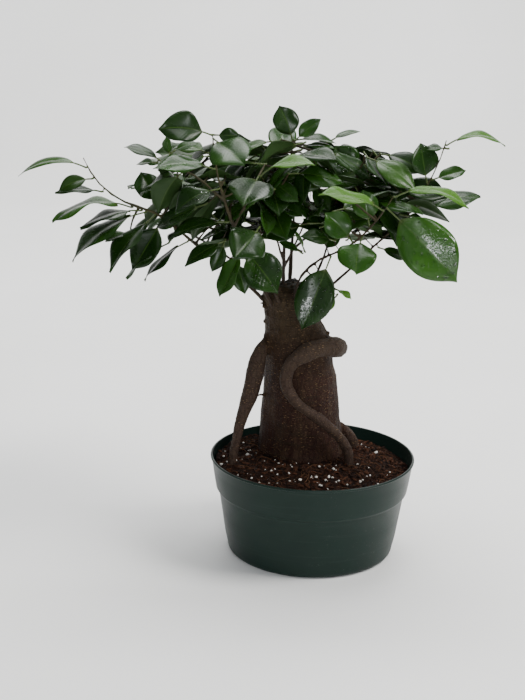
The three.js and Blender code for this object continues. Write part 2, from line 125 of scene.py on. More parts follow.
def new_piece(name, mesh, materials, replaced=()):
    piece = linked(name, mesh)
    for material in materials:
        mesh.materials.append(material)
    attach(piece, "root")
    if replaced:
        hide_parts(*replaced)


def frozen(thing):
    """The object's mesh with its modifiers applied. The object goes."""
    mesh = bpy.data.meshes.new_from_object(thing.evaluated_get(bpy.context.evaluated_depsgraph_get()))
    bpy.data.objects.remove(thing)
    return mesh


def grown_together(name, shells, voxel, smooth):
    """One skin round several closed shells."""
    heap = Heap()
    for points, faces in shells:
        heap.add(points, faces)
    carrier = linked(name + "_shells", new_mesh(name + "_shells", heap.points, heap.faces))
    remesh = carrier.modifiers.new("skin", "REMESH")
    remesh.mode = "VOXEL"
    remesh.voxel_size = voxel
    soften = carrier.modifiers.new("soften", "SMOOTH")
    soften.factor = 0.5
    soften.iterations = smooth
    mesh = frozen(carrier)
    mesh.name = name
    return shaded_smooth(mesh)


def put(mesh, co):
    mesh.vertices.foreach_set("co", np.asarray(co, dtype=float).reshape(-1))
    mesh.update()


def paint(mesh, name, values):
    """One number per vertex, for the materials to read."""
    layer = mesh.attributes.new(name, "FLOAT", "POINT")
    layer.data.foreach_set("value", np.asarray(values, dtype=np.float32))


def rough(points, scale, seed):
    """Smooth noise at each point, about -1 to 1, with lumps of this size in metres."""
    shift = Vector((seed * 7.3, seed * 3.1, seed * 5.7))
    return np.array([noise.noise(Vector(p) / scale + shift) for p in points])


def turns(count):
    """Equal steps round a full turn, in radians."""
    return [TURN * k / count for k in range(count)]


def around(turn):
    return Vector((cos(turn), sin(turn), 0))


def ease(values, start, over):
    """Runs from 0 at the start to 1."""
    return np.clip((values - start) / over, 0, 1)


def hoop(low, high, sides, flip=False):
    """Quads between two rings of points, which start at low and high."""
    faces = []
    for j in range(sides):
        k = (j + 1) % sides
        quad = [low + j, low + k, high + k, high + j]
        faces.append([quad[0], *quad[:0:-1]] if flip else quad)
    return faces


def tube(points, radii, sides=8):
    """A closed tube through points, in metres."""
    points = [Vector(p) for p in points]
    rings, faces = [], []
    across = None
    last = len(points) - 1
    for i, point in enumerate(points):
        ahead = points[min(i + 1, last)] - points[max(i - 1, 0)]
        ahead.normalize()
        if across is None:
            across = ahead.orthogonal().normalized()
        across = (across - ahead * across.dot(ahead)).normalized()
        over = ahead.cross(across)
        for turn in turns(sides):
            rings.append(point + (across * cos(turn) + over * sin(turn)) * radii[i])
    for i in range(last):
        faces += hoop(i * sides, (i + 1) * sides, sides)
    faces.append(list(reversed(range(sides))))
    faces.append(list(range(last * sides, (last + 1) * sides)))
    return rings, faces


def spline(xs, ys, x):
    """A smooth curve through (xs, ys)."""
    xs, ys = np.asarray(xs, float), np.asarray(ys, float)
    slopes = np.gradient(ys, xs)
    i = np.clip(np.searchsorted(xs, x) - 1, 0, len(xs) - 2)
    h = xs[i + 1] - xs[i]
    t = (x - xs[i]) / h
    a = 2 * t ** 3 - 3 * t ** 2 + 1
    b = t ** 3 - 2 * t ** 2 + t
    c = -2 * t ** 3 + 3 * t ** 2
    d = t ** 3 - t ** 2
    return a * ys[i] + b * h * slopes[i] + c * ys[i + 1] + d * h * slopes[i + 1]


# ---- Materials ----

class Nodes:
    """A small writer for node trees."""

    def __init__(self, name, roughness=0.5, specular=0.5):
        self.material = bpy.data.materials.new(name)
        self.material.use_nodes = True
        self.tree = self.material.node_tree
        self.shader = self.tree.nodes["Principled BSDF"]
        self.feed(self.shader, {"Roughness": roughness, "Specular IOR Level": specular})
        self.place = self.add("ShaderNodeTexCoord", {}).outputs["Object"]

    def feed(self, node, inputs):
        """Sets a node's inputs: to a number, to a colour or vector, or to another node's output."""
        for key, value in inputs.items():
            socket = node.inputs[key]
            if isinstance(value, (int, float)):
                socket.default_value = value
            elif isinstance(value, tuple):
                socket.default_value = (*value, 1.0) if len(socket.default_value) == 4 else value
            else:
                self.tree.links.new(value, socket)

    def add(self, kind, inputs, **settings):
        node = self.tree.nodes.new(kind)
        for key, value in settings.items():
            setattr(node, key, value)
        self.feed(node, inputs)
        return node

    def stretched(self, scale):
        node = self.add("ShaderNodeMapping", {"Vector": self.place, "Scale": scale})
        return node.outputs["Vector"]

    def noise(self, scale, detail=3, roughness=0.55, vector=None, distortion=0.0):
        inputs = {"Vector": vector or self.place, "Scale": scale, "Detail": detail,
                  "Roughness": roughness, "Distortion": distortion}
        return self.add("ShaderNodeTexNoise", inputs).outputs["Fac"]

    def cells(self, scale, vector=None, feature="F1"):
        inputs = {"Vector": vector or self.place, "Scale": scale}
        return self.add("ShaderNodeTexVoronoi", inputs, feature=feature).outputs["Distance"]

    def attribute(self, name):
        return self.add("ShaderNodeAttribute", {}, attribute_name=name).outputs["Fac"]

    def math(self, operation, a, b=0.0):
        return self.add("ShaderNodeMath", {0: a, 1: b}, operation=operation).outputs[0]

    def times(self, a, b):
        return self.math("MULTIPLY", a, b)

    def plus(self, a, b):
        return self.math("ADD", a, b)

    def minus(self, a, b):
        return self.math("SUBTRACT", a, b)

    def ramp(self, value, low, high, out_low=0.0, out_high=1.0):
        inputs = {"Value": value, "From Min": low, "From Max": high, "To Min": out_low, "To Max": out_high}
        return self.add("ShaderNodeMapRange", inputs, interpolation_type="SMOOTHSTEP").outputs["Result"]

    def mix(self, share, a, b):
        return self.add("ShaderNodeMix", {"Factor": share, 6: a, 7: b}, data_type="RGBA").outputs[2]

    def finish(self, colour, bump, strength, depth, roughness=None):
        rise = {"Strength": strength, "Distance": depth, "Height": bump}
        normal = self.add("ShaderNodeBump", rise).outputs["Normal"]
        self.feed(self.shader, {"Base Color": colour, "Normal": normal})
        if roughness is not None:
            self.feed(self.shader, {"Roughness": roughness})
        if self.shader.inputs["Coat Weight"].default_value > 0:
            self.feed(self.shader, {"Coat Normal": normal})
        return self.material


def leaf_material(name, film=0.0):
    """The blade's look, with a share of a clear coat of water."""
    n = Nodes(name, 0.3, 0.2)
    uv = n.add("ShaderNodeUVMap", {}, uv_map="blade").outputs["UV"]
    split = n.add("ShaderNodeSeparateXYZ", {0: uv})
    across = n.math("ABSOLUTE", n.minus(split.outputs["X"], 0.5))
    along = split.outputs["Y"]
    under, hue, young = n.attribute("under"), n.attribute("hue"), n.attribute("young")
    # side veins run forward from the midrib, about a dozen pairs
    wobble = n.times(n.noise(60, 2), 0.12)
    phase = n.plus(n.minus(along, n.times(across, 0.62)), n.times(wobble, 0.3))
    wave = n.math("ABSOLUTE", n.math("SINE", n.times(phase, 38.0)))
    vein = n.ramp(wave, 0.0, 0.16, 1.0, 0.0)
    midrib = n.ramp(across, 0.006, 0.03, 1.0, 0.0)
    patch = n.noise(45, 4)
    dark = n.mix(n.ramp(patch, 0.35, 0.65), (0.0036, 0.0138, 0.0018), (0.0078, 0.0255, 0.0030))
    fresh = n.mix(n.ramp(patch, 0.3, 0.7), (0.0145, 0.054, 0.0044), (0.0240, 0.078, 0.0066))
    blade = n.mix(hue, dark, fresh)
    blade = n.mix(young, blade, (0.064, 0.162, 0.016))
    blade = n.mix(n.times(vein, 0.12), blade, (0.030, 0.066, 0.012))
    blade = n.mix(n.times(midrib, 0.5), blade, (0.045, 0.092, 0.016))
    below = n.mix(n.ramp(patch, 0.3, 0.7), (0.017, 0.040, 0.0095), (0.027, 0.058, 0.0140))
    below = n.mix(young, below, (0.078, 0.175, 0.020))
    below = n.mix(n.times(midrib, 0.7), below, (0.060, 0.095, 0.030))
    colour = n.mix(under, blade, below)
    colour = n.mix(n.attribute("stalk"), colour, (0.060, 0.085, 0.026))
    fine = n.plus(n.times(n.noise(900, 2), 0.25), n.times(n.noise(160, 3), 0.6))
    height = n.minus(fine, n.times(vein, 0.35))
    # the water is broken into ripples and beads
    wet = n.attribute("wet")
    ripples = n.plus(n.noise(330, 3, 0.6), n.times(n.ramp(n.cells(420), 0.2, 0.5, 1.0, 0.0), 0.5))
    height = n.plus(height, n.times(n.times(wet, ripples), 2.2))
    sheen = n.plus(n.ramp(n.noise(70, 3), 0.3, 0.7, 0.19, 0.32), n.times(under, 0.22))
    n.feed(n.shader, {"Coat Weight": film, "Coat Roughness": 0.05, "Coat IOR": 1.4})
    return n.finish(colour, height, 0.35, 0.0004, sheen)


def water_material():
    n = Nodes("water", 0.02)
    n.feed(n.shader, {"Transmission Weight": 1.0, "IOR": 1.33})
    return n.finish((0.96, 0.99, 0.98), n.noise(300, 1), 0.05, 0.0001)


def shaded(colour, share):
    return tuple(c * share for c in colour)


def bark_material():
    """Red-brown low on the trunk and grey-green high up, with pale streaks, bands and pores."""
    low, high, pale = (0.025, 0.0082, 0.0046), (0.034, 0.0225, 0.0100), (0.064, 0.039, 0.019)
    n = Nodes("bark", 0.8, 0.2)
    lumps = n.noise(38, 5, 0.6)
    streak = n.noise(1.0, 4, 0.6, n.stretched((120, 120, 26)))
    bands = n.noise(1.0, 4, 0.65, n.stretched((24, 24, 330)), 0.6)
    up = n.attribute("up")
    colour = n.mix(n.ramp(up, 0.35, 0.95), low, high)
    colour = n.mix(n.ramp(lumps, 0.35, 0.7, 0.0, 0.55), colour, shaded(low, 0.5))
    colour = n.mix(n.ramp(streak, 0.45, 0.7, 0.0, 0.35), colour, pale)
    colour = n.mix(n.ramp(bands, 0.52, 0.66, 0.0, 0.5), colour, shaded(high, 0.55))
    colour = n.mix(n.times(n.attribute("root"), 0.55), colour, (0.052, 0.035, 0.025))
    # breathing pores: short pale dashes set across the wood
    dashes = n.cells(1.0, n.stretched((190, 190, 760)))
    room = n.ramp(n.noise(1.0, 2, 0.5, n.stretched((30, 30, 70))), 0.40, 0.58)
    pores = n.times(n.ramp(dashes, 0.14, 0.28, 1.0, 0.0), room)
    specks = n.ramp(n.cells(1.0, n.stretched((380, 380, 640))), 0.10, 0.24, 1.0, 0.0)
    pores = n.math("MAXIMUM", pores, n.times(specks, 0.55))
    colour = n.mix(n.times(pores, 0.8), colour, shaded(pale, 3.4))
    cracks = n.cells(1.0, n.stretched((210, 210, 90)), "DISTANCE_TO_EDGE")
    crack = n.ramp(cracks, 0.0, 0.1, 1.0, 0.0)
    colour = n.mix(n.times(crack, 0.28), colour, shaded(low, 0.3))
    fine = n.noise(700, 4, 0.65)
    height = n.plus(n.times(fine, 0.5), n.times(bands, 0.9))
    height = n.minus(height, n.times(crack, 0.35))
    height = n.plus(height, n.times(pores, 0.5))
    return n.finish(colour, height, 0.95, 0.0015, n.ramp(fine, 0.3, 0.7, 0.6, 0.85))


def twig_material():
    n = Nodes("twig", 0.75, 0.2)
    bands = n.noise(1.0, 3, 0.6, n.stretched((60, 60, 420)), 0.4)
    patch = n.noise(90, 4, 0.6)
    old = n.mix(n.ramp(patch, 0.35, 0.7), (0.017, 0.0095, 0.0055), (0.036, 0.0225, 0.0130))
    new = n.mix(n.ramp(patch, 0.3, 0.7), (0.026, 0.025, 0.010), (0.046, 0.045, 0.017))
    colour = n.mix(n.attribute("tender"), old, new)
    colour = n.mix(n.ramp(bands, 0.55, 0.7, 0.0, 0.5), colour, (0.014, 0.009, 0.006))
    pores = n.ramp(n.cells(1.0, n.stretched((420, 420, 700))), 0.1, 0.25, 1.0, 0.0)
    colour = n.mix(n.times(pores, 0.5), colour, (0.10, 0.075, 0.050))
    height = n.plus(n.noise(900, 3), n.times(bands, 1.2))
    return n.finish(colour, height, 0.6, 0.0006, n.ramp(patch, 0.3, 0.7, 0.55, 0.8))


def pot_material():
    n = Nodes("pot_plastic", 0.42, 0.16)
    cloud = n.noise(14, 4, 0.6)
    colour = n.mix(n.ramp(cloud, 0.3, 0.7), (0.0062, 0.0158, 0.0120), (0.0078, 0.0190, 0.0145))
    dust = n.times(n.ramp(n.noise(420, 3, 0.7), 0.62, 0.74), n.ramp(n.noise(9, 3), 0.45, 0.7))
    colour = n.mix(n.times(dust, 0.3), colour, (0.16, 0.15, 0.13))
    scuff = n.ramp(n.noise(1.0, 3, 0.6, n.stretched((9, 9, 260))), 0.56, 0.66)
    colour = n.mix(n.times(scuff, 0.06), colour, (0.055, 0.070, 0.064))
    height = n.plus(n.times(n.noise(1500, 2), 0.6), n.times(n.noise(26, 2), 0.5))
    return n.finish(colour, height, 0.12, 0.0006, n.ramp(cloud, 0.25, 0.75, 0.34, 0.46))


def soil_material():
    n = Nodes("soil", 0.95, 0.12)
    grains = n.cells(520)
    clump = n.noise(130, 5, 0.65)
    colour = n.mix(n.ramp(clump, 0.35, 0.65), (0.0045, 0.0018, 0.0010), (0.018, 0.0064, 0.0032))
    colour = n.mix(n.ramp(grains, 0.1, 0.5, 0.4, 0.0), colour, (0.036, 0.0135, 0.0068))
    height = n.plus(clump, n.times(n.noise(900, 4, 0.7), 0.7))
    return n.finish(colour, height, 1.0, 0.0022)


def crumb_material(name, dark, light, scale):
    n = Nodes(name, 0.9, 0.15)
    tone = n.attribute("tone")
    grain = n.noise(scale, 4, 0.65)
    colour = n.mix(tone, dark, light)
    colour = n.mix(n.ramp(grain, 0.4, 0.7, 0.0, 0.6), colour, shaded(dark, 0.45))
    return n.finish(colour, grain, 0.8, 0.0007, n.ramp(grain, 0.3, 0.7, 0.75, 0.98))


# ---- Leaves ----

STALK = 0.16  # the stalk's share of a leaf's length
# The blade's half width along it, as shares of its length and of its widest half.
OUTLINE_T = [0, 0.03, 0.08, 0.16, 0.27, 0.40, 0.53, 0.66, 0.78, 0.87, 0.93, 0.97, 1.0]
OUTLINE_W = [0.05, 0.17, 0.40, 0.66, 0.87, 0.985, 1.0, 0.90, 0.67, 0.41, 0.20, 0.085, 0.012]
ACROSS = (-1, -0.82, -0.58, -0.33, -0.12, 0, 0.12, 0.33, 0.58, 0.82, 1)
ALONG = 18
BLADE_HALF = 0.18 * MM  # half the blade's thickness away from the midrib
MIDRIB_WIDE = 1.1 * MM
MIDRIB_SUNK = 0.30 * MM  # into the upper face
MIDRIB_PROUD = 0.62 * MM  # out of the under face
BEAD_SIDES = 10
# A water bead's rings: reach and height as shares of its radius.
BEAD_RINGS = ((1.0, -0.25), (1.04, 0.1), (0.86, 0.42), (0.5, 0.64), (0.0, 0.72))


def new_marks():
    """What the leaf materials read at each point."""
    return {"under": [], "stalk": [], "wet": [], "hue": [], "young": []}


class Leaf:
    """A leaf on its stalk: where it starts, the way it points and faces, and its shape."""

    def __init__(self, base, along, side, face, long, wide, arch, young=0.0, hue=0.3, seed=0, drops=0,
                 film=None):
        self.base, self.along = Vector(base), Vector(along)
        self.side, self.face = Vector(side), Vector(face)
        self.long, self.wide, self.arch = long, wide, arch
        self.young, self.hue, self.seed, self.drops, self.film = young, hue, seed, drops, film
        draw = random.Random(seed)
        self.fold = radians(draw.uniform(9, 23))
        self.curl = draw.uniform(0.10, 0.30)
        self.wave = draw.uniform(0.015, 0.085)
        self.phase = draw.uniform(0, 6.28)
        self.skew = draw.uniform(-0.05, 0.05)
        self.tip = draw.uniform(-0.03, 0.05)

    def centre(self, share):
        bow = self.arch * self.long * 4 * share * (1 - share)
        tip = -self.tip * self.long * max(0.0, share - 0.7) ** 2 * 4
        sway = self.skew * self.long * sin(pi * share)
        return self.base + self.along * (share * self.long) + self.face * (bow + tip) + self.side * sway

    def surface(self, t, v):
        """A point on the blade's middle layer, t along it and v across it."""
        half = float(spline(OUTLINE_T, OUTLINE_W, t)) * self.wide / 2
        out = v * half
        ridge = sqrt(v * v + 0.012) - sqrt(0.012)
        lift = half * (tan(self.fold) * ridge - self.curl * v * v * abs(v))
        lift += self.wave * self.wide * v * v * sin(9 * t + self.phase + (1.6 if v > 0 else 0))
        return self.centre(STALK + (1 - STALK) * t) + self.side * out + self.face * lift

    def layer(self, below):
        """One face of the blade: its points, UVs and how wet each point is."""
        points, uvs, wet = [], [], []
        for i in range(ALONG + 1):
            t = 1 - (1 - i / ALONG) ** 1.15
            for v in ACROSS:
                point = self.surface(t, v)
                half = float(spline(OUTLINE_T, OUTLINE_W, t)) * self.wide / 2
                near = exp(-((v * half) / MIDRIB_WIDE) ** 2) * (1 - 0.75 * t)
                thick = BLADE_HALF * (1 - 0.6 * abs(v) ** 3)
                if below:
                    point = point - self.face * (thick + MIDRIB_PROUD * near)
                else:
                    point = point + self.face * (thick - MIDRIB_SUNK * near)
                points.append(point)
                uvs.append((v * 0.5 + 0.5, t))
                wet.append(0.0 if below else self.wetness(t, v))
        return points, uvs, wet

    def wetness(self, t, v):
        if not self.film:
            return 0.0
        middle_t, middle_v, reach_t, reach_v = self.film
        apart = ((t - middle_t) / reach_t) ** 2 + ((v - middle_v) / reach_v) ** 2
        return max(0.0, min(1.0, 1.6 * (1 - apart)))

    def blade_faces(self):
        """Faces over both layers and round the edge. The lower layer's points come second."""
        columns = len(ACROSS)
        size = (ALONG + 1) * columns
        faces = []
        for i in range(ALONG):
            for j in range(columns - 1):
                a = i * columns + j
                faces.append([a, a + 1, a + 1 + columns, a + columns])
                b = a + size
                faces.append([b, b + columns, b + columns + 1, b + 1])
            left = i * columns
            right = left + columns - 1
            faces.append([left, left + columns, left + columns + size, left + size])
            faces.append([right, right + size, right + size + columns, right + columns])
        for j in range(columns - 1):
            faces.append([j, j + size, j + size + 1, j + 1])
            a = ALONG * columns + j
            faces.append([a, a + 1, a + 1 + size, a + size])
        return faces

    def skin(self):
        """The blade and its stalk: a heap, the UVs and the marks."""
        heap, uvs, marks = Heap(), [], new_marks()
        points = []
        for below in (False, True):
            layer, layer_uvs, wet = self.layer(below)
            points += layer
            uvs += layer_uvs
            marks["wet"] += wet
            marks["under"] += [float(below)] * len(layer)
            marks["stalk"] += [max(0.0, 1 - t * 14) for _, t in layer_uvs]
        heap.add(points, self.blade_faces())
        path = [self.base - self.along * 0.0022]
        path += [self.centre(STALK * k / 6) - self.face * 0.0002 for k in range(8)]
        radii = [0.00095, 0.00092] + [0.00078] * 5 + [0.0006, 0.0004]
        count = heap.add(*tube(path, radii))
        uvs += [(0.5, 0.0)] * count
        for key, value in (("under", 0.0), ("stalk", 1.0), ("wet", 0.0)):
            marks[key] += [value] * count
        marks["hue"] += [self.hue] * len(heap.points)
        marks["young"] += [self.young] * len(heap.points)
        return heap, uvs, marks

    def sheet(self):
        """A rough version of the blade for telling whether two leaves cross."""
        points = [self.surface(t, v) for t in (0.02, 0.2, 0.4, 0.6, 0.8, 0.98) for v in (-1, 0, 1)]
        faces = []
        for i in range(5):
            for j in range(2):
                a = i * 3 + j
                faces.append((a, a + 1, a + 4, a + 3))
        return points, faces

    def beads(self):
        """Water beads lying on the upper face."""
        draw = random.Random(self.seed * 31 + 5)
        heap = Heap()
        for _ in range(self.drops):
            t, v = draw.uniform(0.12, 0.9), draw.uniform(-0.85, 0.85)
            radius = draw.choice((0.5, 0.6, 0.8, 0.8, 1.1, 1.5)) * MM
            centre = self.surface(t, v)
            ahead, beside = self.surface(t + 0.03, v) - centre, self.surface(t, v + 0.05) - centre
            normal = beside.cross(ahead).normalized()
            if normal.dot(self.face) < 0:
                normal.negate()
            a = normal.orthogonal().normalized()
            b = normal.cross(a)
            stretch = draw.uniform(1.0, 1.35)
            points, faces = [], []
            for out, high in BEAD_RINGS:
                for turn in turns(BEAD_SIDES if out else 1):
                    reach = out * radius
                    flat = a * (cos(turn) * reach * stretch) + b * (sin(turn) * reach)
                    points.append(centre + normal * (high * radius + 0.1 * MM) + flat)
            for k in range(3):
                faces += hoop(k * BEAD_SIDES, (k + 1) * BEAD_SIDES, BEAD_SIDES)
            for j in range(BEAD_SIDES):
                faces.append([3 * BEAD_SIDES + j, 3 * BEAD_SIDES + (j + 1) % BEAD_SIDES, 4 * BEAD_SIDES])
            faces.append(list(reversed(range(BEAD_SIDES))))
            heap.add(points, faces)
        return heap


def pointing(turn, rise, roll):
    turn, rise, roll = (radians(x) for x in (turn, rise, roll))
    along = Vector((cos(turn) * cos(rise), sin(turn) * cos(rise), sin(rise)))
    level = Vector((sin(turn), -cos(turn), 0))
    upright = level.cross(along)
    side = level * cos(roll) + upright * sin(roll)
    face = upright * cos(roll) - level * sin(roll)
    return along, side, face


def leaf_from_cad(name, **look):
    """Reads a CAD leaf's place, direction and size back from its rings of four corners."""
    points, faces = welded(name)
    near = {i: set() for i in range(len(points))}
    for face in faces:
        for a, b in zip(face, face[1:] + face[:1]):
            near[a].add(b)
            near[b].add(a)
    for start in near:
        rings, seen = [[start]], {start}
        while True:
            ring = sorted({b for a in rings[-1] for b in near[a]} - seen)
            if not ring:
                break
            rings.append(ring)
            seen |= set(ring)
        if [len(ring) for ring in rings] == [1] + [4] * (len(rings) - 1) and len(rings) > 5:
            break
    tip = Vector(points[start])
    rings = [[Vector(points[i]) for i in ring] for ring in rings[1:]]
    base = sum(rings[-1], Vector()) / 4

    def edges(ring):
        return max(combinations(ring, 2), key=lambda pair: (pair[0] - pair[1]).length)

    widest = max(rings[:-1], key=lambda ring: (edges(ring)[0] - edges(ring)[1]).length)
    left, right = edges(widest)
    rest = [p for p in widest if p not in (left, right)]
    lift = (left + right) / 2 - (rest[0] + rest[1]) / 2
    along = (tip - base).normalized()
    face = (lift - along * lift.dot(along)).normalized()
    long = (tip - base).length
    spine = (rest[0] + rest[1]) / 2 - base
    share = spine.dot(along) / long
    arch = spine.dot(face) / (long * 4 * share * (1 - share))
    return Leaf(base, along, along.cross(face), face, long, (left - right).length * 1.02, arch, **look)


def shoot_of(name):
    """The shoot's name out of a leaf node's name, leaf_<shoot>_<number>."""
    return name.removeprefix("leaf_").rsplit("_", 1)[0]


CAD_LEAVES = sorted(name for name in NODES if name.startswith("leaf_"))
SHOOTS = sorted({shoot_of(name) for name in CAD_LEAVES})
YOUNG = {entry["node"] for entry in frame["record"]["subparts"] if entry["material_slot"] == "leaf_young"}
# Beads of water on the leaves that were splashed.
WET = {"leaf_right_upper_1": 26, "leaf_right_front_5": 34, "leaf_right_front_6": 44, "leaf_right_long_2": 22,
       "leaf_front_3": 24, "leaf_left_top_8": 8}
# Where a film of water lies on them: its middle along and across the blade, and its reach each way.
FILM = {"leaf_right_front_6": (0.6, -0.46, 0.4, 0.56), "leaf_front_3": (0.45, 0.4, 0.34, 0.5),
        "leaf_right_upper_1": (0.4, -0.3, 0.3, 0.5), "leaf_right_front_5": (0.7, 0.3, 0.25, 0.5)}
# Leaves whose green stands out: how young and how fresh each looks.
TONES = {"leaf_right_front_6": (0.06, 1.0), "leaf_right_long_4": (0.45, 1.0), "leaf_left_low_1": (0.06, 0.7),
         "leaf_right_front_3": (0.0, 0.9), "leaf_right_front_4": (0.0, 0.8), "leaf_left_top_6": (0.0, 0.8),
         "leaf_left_low_2": (0.05, 0.9), "leaf_right_long_3": (0.0, 0.6)}

leaves = {shoot: [] for shoot in SHOOTS}
for number, name in enumerate(CAD_LEAVES):
    shoot = shoot_of(name)
    draw = random.Random(number * 17 + 3)
    young, hue = TONES.get(name, (0.75 if name in YOUNG else 0.0, draw.uniform(0.0, 0.6)))
    leaves[shoot].append(leaf_from_cad(name, young=young, hue=hue, seed=number + 100,
                                       drops=WET.get(name, 0), film=FILM.get(name)))

# More leaves of the same kind: shoot, base in mm, bearing, climb, length, width, roll, arch and how young.
MORE = [
    ("left_low", (-217, -4, 371), -165, -20, 34, 16, 45, 0.12, 0.1),
    ("left_low", (-208, -4, 359), -165, 0, 44, 21, 10, 0.08, 0),
    ("left_low", (-181, -3, 321), -160, -20, 26, 14, 15, 0.05, 0),
    ("left_low", (-157, 36, 331), 160, -45, 46, 22, 40, 0.06, 0),
    ("left_low", (-145, 3, 309), -170, -40, 53, 26, 0, 0.08, 0),
    ("left_top", (-90, -18, 317), -150, -25, 47, 22, 15, 0.08, 0),
    ("left_top", (-90, -18, 317), -150, -65, 32, 15, 50, 0.05, 0),
    ("front", (-79, -28, 301), -50, -65, 34, 18, -25, 0.05, 0),
    ("left_top", (-142, -27, 398), 180, 78, 18, 14, 35, 0.05, 0),
    ("left_top", (-140, -27, 401), 0, 20, 26, 14, -25, 0.08, 0),
    ("left_top", (-155, -25, 391), 145, -10, 24, 12, 25, 0.05, 0),
    ("centre", (-25, 23, 408), 10, -5, 40, 19, -15, 0.10, 0),
    ("centre", (9, 37, 406), 20, 15, 32, 14, -10, 0.10, 0),
    ("centre", (-19, 23, 401), -10, 0, 32, 15, -15, 0.10, 0),
    ("centre", (-29, 26, 372), -25, 10, 40, 19, -15, 0.14, 0.7),
    ("right_upper", (43, 27, 385), 15, 0, 18, 12, -15, 0.05, 0),
    ("right_upper", (43, 27, 376), 10, -25, 26, 12, -20, 0.05, 0),
    ("centre", (-47, 9, 371), -40, -25, 37, 19, -50, 0.06, 0),
    ("centre", (-41, 11, 349), -30, -20, 30, 15, -35, 0.06, 0),
    ("centre", (-20, 41, 346), -45, -45, 24, 14, 5, 0.05, 0),
    ("right_front", (13, -24, 321), -155, 10, 36, 17, 45, 0.08, 0),
    ("right_front", (17, -17, 272), -25, -25, 18, 11, -10, 0.10, 1.0),
    ("right_front", (18, -13, 265), -145, -55, 20, 12, 5, 0.10, 1.0),
    ("right_long", (59, 13, 307), 0, -25, 27, 14, -35, 0.08, 0),
    ("right_long", (118, 3, 406), 165, -5, 26, 12, 25, 0.05, 0),
    ("right_long", (71, 5, 351), 50, 55, 26, 18, -25, 0.05, 0),
    ("right_long", (67, 7, 342), 30, 20, 30, 16, -50, 0.05, 0),
    ("centre", (-16, 29, 297), -165, 25, 26, 12, 35, 0.05, 0),
    ("centre", (-13, 29, 299), -160, 60, 24, 10, 35, 0.05, 0.5),
    ("centre", (-51, 17, 323), -20, -20, 18, 11, 0, 0.05, 0.5),
]
for number, (shoot, base, turn, rise, long, wide, roll, arch, young) in enumerate(MORE):
    draw = random.Random(number * 13 + 1)
    along, side, face = pointing(turn, rise, roll)
    leaves[shoot].append(Leaf(Vector(base) * MM, along, side, face, long * MM, wide * MM, arch,
                              young=young, hue=draw.uniform(0.0, 0.6), seed=number + 300))

# ---- Inner leaves ----

# They fill the crown, and each stands on a short twig off the nearest branch.
INNER_LEAVES = 195
INNER_TRIES = 14000
INNER_LONG = (42, 72)  # mm
TWIG_REACH = (3 * MM, 34 * MM)
BEARING_FROM = 0.292  # wood below this height bears no inner leaves
CROWN_HEART = Vector((-0.03, 0.035, 0.30))  # the leaves point away from it
FRONT = -0.020  # nearer than this, the placed leaves stand alone
CROWN_TOP, CROWN_FALL = 0.407, 0.27  # the crown's height at its middle, and how it falls to the back
CROWN_MIDDLE = 0.025
# The crown's lobes: middle and reach in mm, and share of the leaves.
CROWN_LOBES = [((-38, 40, 378), (128, 118, 44), 0.46), ((-112, 14, 342), (70, 62, 40), 0.22),
               ((62, 14, 350), (66, 80, 40), 0.14), ((-42, 66, 346), (110, 104, 40), 0.18)]


def sheet_tree(leaf):
    return BVHTree.FromPolygons(*leaf.sheet())


def inside_crown(point):
    for middle, reach, _ in CROWN_LOBES:
        if sum(((point[i] / MM - middle[i]) / reach[i]) ** 2 for i in range(3)) < 1:
            return True
    return False


def in_bounds(base, spot, tip):
    """Whether a leaf lies in the crown, behind its front leaves and under its top."""
    if not (inside_crown(spot) and inside_crown(tip)) or min(spot.y, tip.y) < FRONT:
        return False
    return max(p.z + CROWN_FALL * (p.y - CROWN_MIDDLE) for p in (base, spot, tip)) <= CROWN_TOP


def grow_inner_leaves():
    sheets = [sheet_tree(leaf) for shoot in SHOOTS for leaf in leaves[shoot]]
    stems = [(Vector(p), shoot) for shoot in SHOOTS for p in welded(f"branch_{shoot}")[0]
             if p[2] > BEARING_FROM]
    finder = KDTree(len(stems))
    for number, (point, _) in enumerate(stems):
        finder.insert(point, number)
    finder.balance()
    draw = random.Random(900)
    shares = [share for _, _, share in CROWN_LOBES]
    made = 0
    for _ in range(INNER_TRIES):
        if made == INNER_LEAVES:
            break
        middle, reach, _ = draw.choices(CROWN_LOBES, shares)[0]
        spot = Vector([(middle[i] + reach[i] * draw.uniform(-1, 1)) * MM for i in range(3)])
        out = spot - CROWN_HEART
        turn = degrees(atan2(out.y, out.x)) + draw.uniform(-75, 75)
        along, side, face = pointing(turn, draw.uniform(-58, 14), draw.uniform(-46, 46))
        long = draw.uniform(*INNER_LONG) * MM
        base = spot - along * (0.5 * long)
        tip = spot + along * (0.47 * long)
        if not in_bounds(base, spot, tip):
            continue
        _, number, gap = finder.find(base)
        if not TWIG_REACH[0] < gap < TWIG_REACH[1]:
            continue
        leaf = Leaf(base, along, side, face, long, long * draw.uniform(0.46, 0.56), draw.uniform(0.03, 0.12),
                    young=0.25 * max(0.0, draw.uniform(-4, 1)), hue=draw.uniform(0.0, 0.5), seed=made + 500)
        tree = sheet_tree(leaf)
        if any(tree.overlap(other) for other in sheets):
            continue
        sheets.append(tree)
        leaves[stems[number][1]].append(leaf)
        made += 1


grow_inner_leaves()


